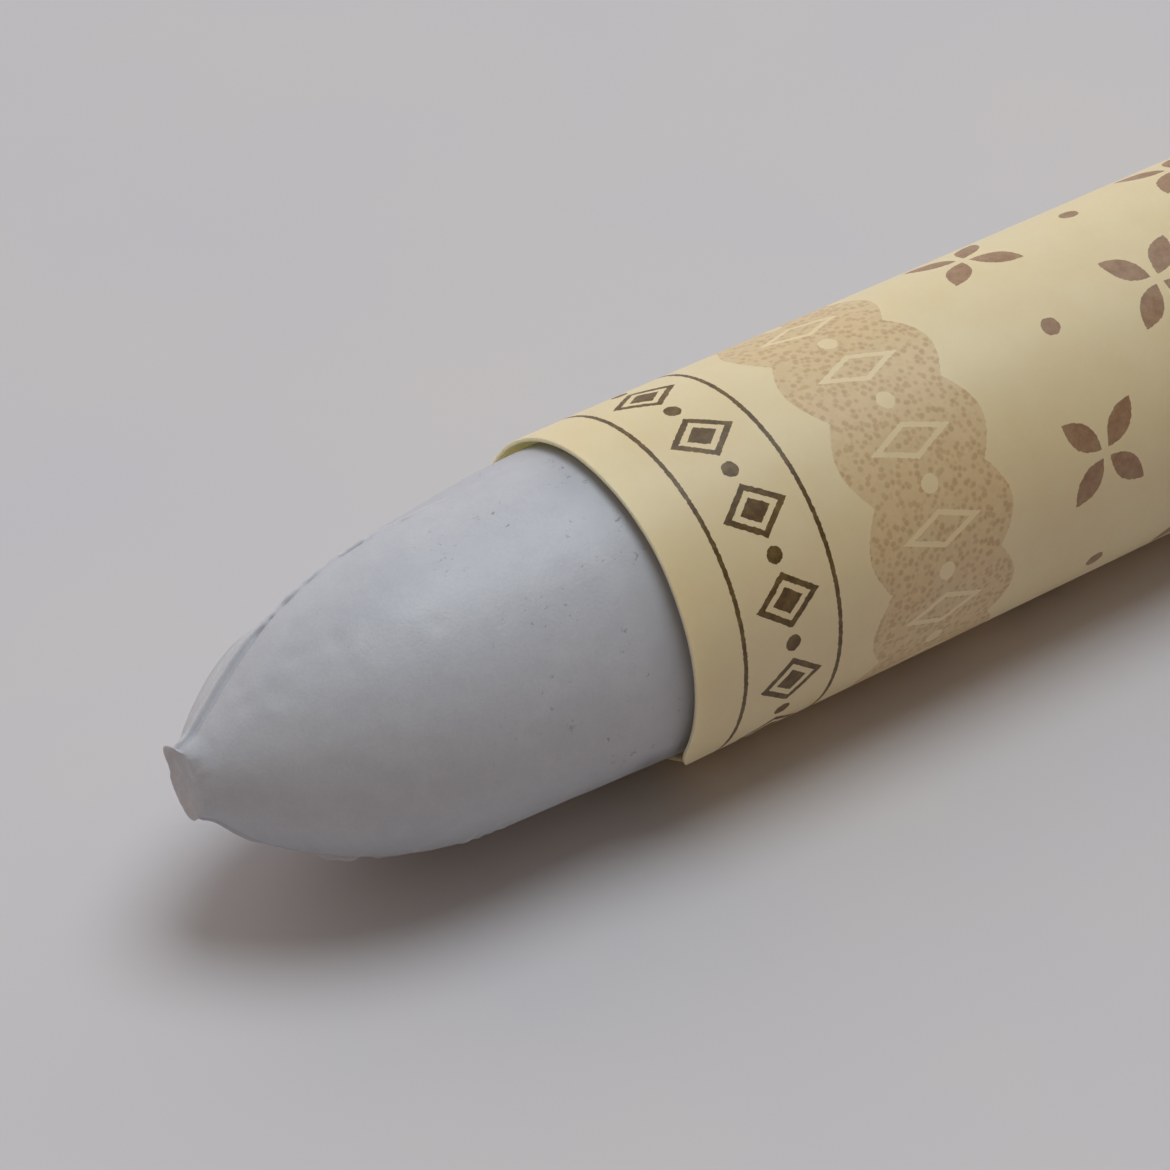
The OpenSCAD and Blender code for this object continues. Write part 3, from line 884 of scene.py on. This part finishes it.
class CastPastelStick(bpy.types.Operator):
    """Builds the cast stick with its torn tip, flash and bloom"""

    bl_idname = "oil_pastel.cast_stick"
    bl_label = "Cast Pastel Stick"

    def execute(self, context):
        stick = context.scene.pastel_stick
        piece = cast_stick_mesh(stick, cast_wax(stick))
        finish_piece(piece, "pastel_stick", "stick")
        return {"FINISHED"}


class RollPaperSleeve(bpy.types.Operator):
    """Rolls the printed paper round the stick"""

    bl_idname = "oil_pastel.roll_sleeve"
    bl_label = "Roll Paper Sleeve"

    def execute(self, context):
        paper = context.scene.paper_sleeve
        piece = rolled_paper_mesh(paper, coated_paper(paper), raw_paper(paper))
        finish_piece(piece, "paper_sleeve", "sleeve")
        return {"FINISHED"}


class PasteOverlap(bpy.types.Operator):
    """Lays the film of paste in the paper's overlap"""

    bl_idname = "oil_pastel.paste_overlap"
    bl_label = "Paste Overlap"

    def execute(self, context):
        paper = context.scene.paper_sleeve
        piece = paste_mesh(paper, dried_paste(paper))
        finish_piece(piece, "seam_glue", "sleeve")
        return {"FINISHED"}


class SetStage(bpy.types.Operator):
    """Lays the floor and sets the light and the camera"""

    bl_idname = "oil_pastel.set_stage"
    bl_label = "Set Stage"

    def execute(self, context):
        scene = context.scene
        stage = scene.pastel_stage
        scene.view_settings.view_transform = "Standard"
        half = 1.5
        corners = [(-half, -half, 0), (half, -half, 0), (half, half, 0), (-half, half, 0)]
        mesh_object("floor", corners, [(0, 1, 2, 3)], painted_board(stage))
        scene.world = room_light(stage)
        aim = Vector((MOUTH_X, 0, AXIS_Z))
        lamp, camera = soft_lamp(stage, aim), photo_camera(stage, aim)
        scene.collection.objects.link(lamp)
        scene.collection.objects.link(camera)
        scene.camera = camera
        return {"FINISHED"}


class OilPastelPanel(bpy.types.Panel):
    """Lists the steps of the build"""

    bl_idname = "VIEW3D_PT_oil_pastel"
    bl_label = "Oil Pastel"
    bl_space_type = "VIEW_3D"
    bl_region_type = "UI"
    bl_category = "Oil Pastel"

    def draw(self, context):
        for operator in OPERATORS:
            self.layout.operator(operator.bl_idname)


OPERATORS = (CastPastelStick, RollPaperSleeve, PasteOverlap, SetStage)
SETTINGS = {
    "pastel_stick": PastelStickSettings,
    "paper_sleeve": PaperSleeveSettings,
    "pastel_stage": StageSettings,
}
CLASSES = (*SETTINGS.values(), *OPERATORS, OilPastelPanel)


def register():
    for made in CLASSES:
        bpy.utils.register_class(made)
    for name, group in SETTINGS.items():
        setattr(bpy.types.Scene, name, PointerProperty(type=group))


def unregister():
    for name in SETTINGS:
        delattr(bpy.types.Scene, name)
    for made in reversed(CLASSES):
        bpy.utils.unregister_class(made)


def main():
    register()
    bpy.ops.oil_pastel.cast_stick()
    bpy.ops.oil_pastel.roll_sleeve()
    bpy.ops.oil_pastel.paste_overlap()
    bpy.ops.oil_pastel.set_stage()


if __name__ == "__main__":
    main()
